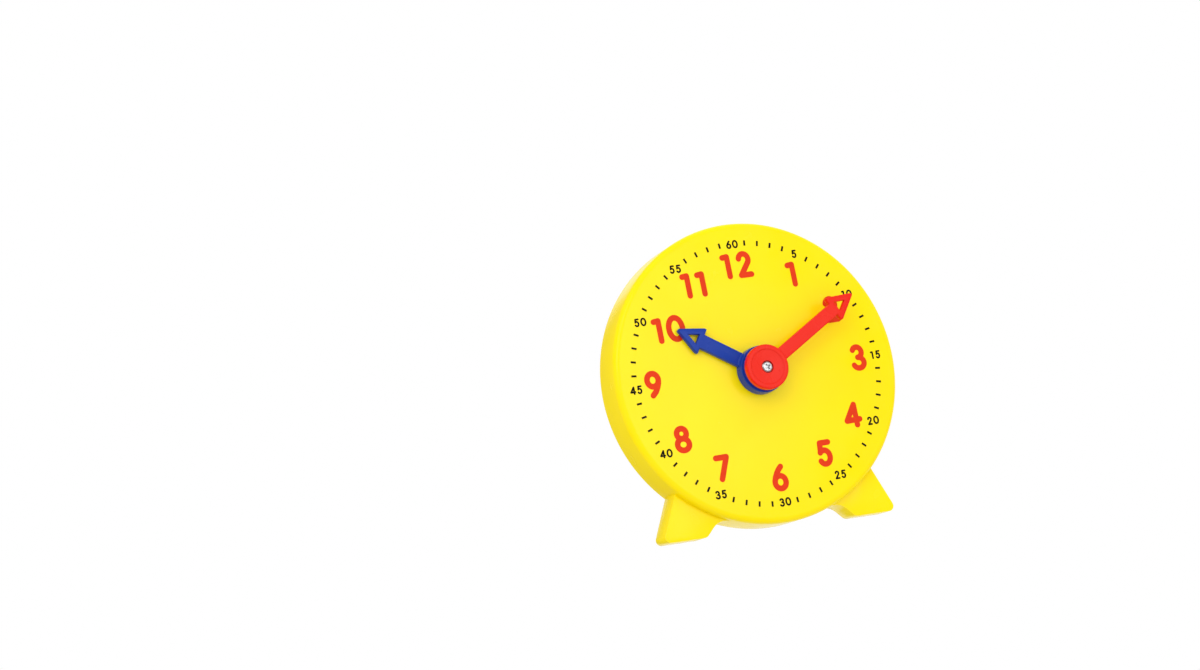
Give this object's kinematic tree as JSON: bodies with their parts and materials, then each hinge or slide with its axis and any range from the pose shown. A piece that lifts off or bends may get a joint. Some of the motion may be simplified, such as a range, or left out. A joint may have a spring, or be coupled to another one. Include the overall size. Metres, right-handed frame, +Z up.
{
  "type": "geared teaching clock",
  "caption": "Small free-standing teaching clock: round dial drum on two splayed feet, with an hour hand and a minute hand geared together so that turning one carries the other",
  "frame": {"origin": "On the surface that the feet stand on, midway across the clock and midway through its overall depth", "axes": "+X to the right of a reader who faces the dial, +Y from the dial to the back cover, +Z up"},
  "size_m": [0.1, 0.0218, 0.101],
  "materials": {
    "yellow_shell": "satin",
    "blue_hand": "satin",
    "red_hand": "satin",
    "white_gear": "matte",
    "pin_steel": "brushed",
    "spring_steel": "brushed",
    "screw_steel": "bright zinc",
    "screw_chrome": "polished"
  },
  "bodies": {
    "clock_body": {"dial_housing": "yellow_shell", "rear_cover": "yellow_shell", "cover_screws": "screw_steel", "idler_pin": "pin_steel", "friction_spring": "spring_steel"},
    "minute_side": {"minute_hand": "red_hand", "minute_arbor": "white_gear", "minute_pinion": "white_gear", "centre_screw": "screw_chrome"},
    "hour_side": {"hour_hand": "blue_hand", "hour_wheel": "white_gear"},
    "reduction_side": {"reduction_gear": "white_gear"}
  },
  "joints": [
    {"name": "minute_turn", "type": "hinge", "parent": "clock_body", "child": "minute_side", "pos_m": [0, 0, 0.051], "axis": [0, 1, 0], "continuous": true},
    {"name": "hour_turn", "type": "hinge", "parent": "clock_body", "child": "hour_side", "pos_m": [0, 0, 0.051], "axis": [0, 1, 0], "continuous": true},
    {"name": "reduction_turn", "type": "hinge", "parent": "clock_body", "child": "reduction_side", "pos_m": [0, 0, 0.071], "axis": [0, 1, 0], "continuous": true}
  ],
  "couplings": [
    {"joint": "hour_turn", "follows": "minute_turn", "ratio": 0.083333},
    {"joint": "reduction_turn", "follows": "minute_turn", "ratio": -0.33333}
  ]
}
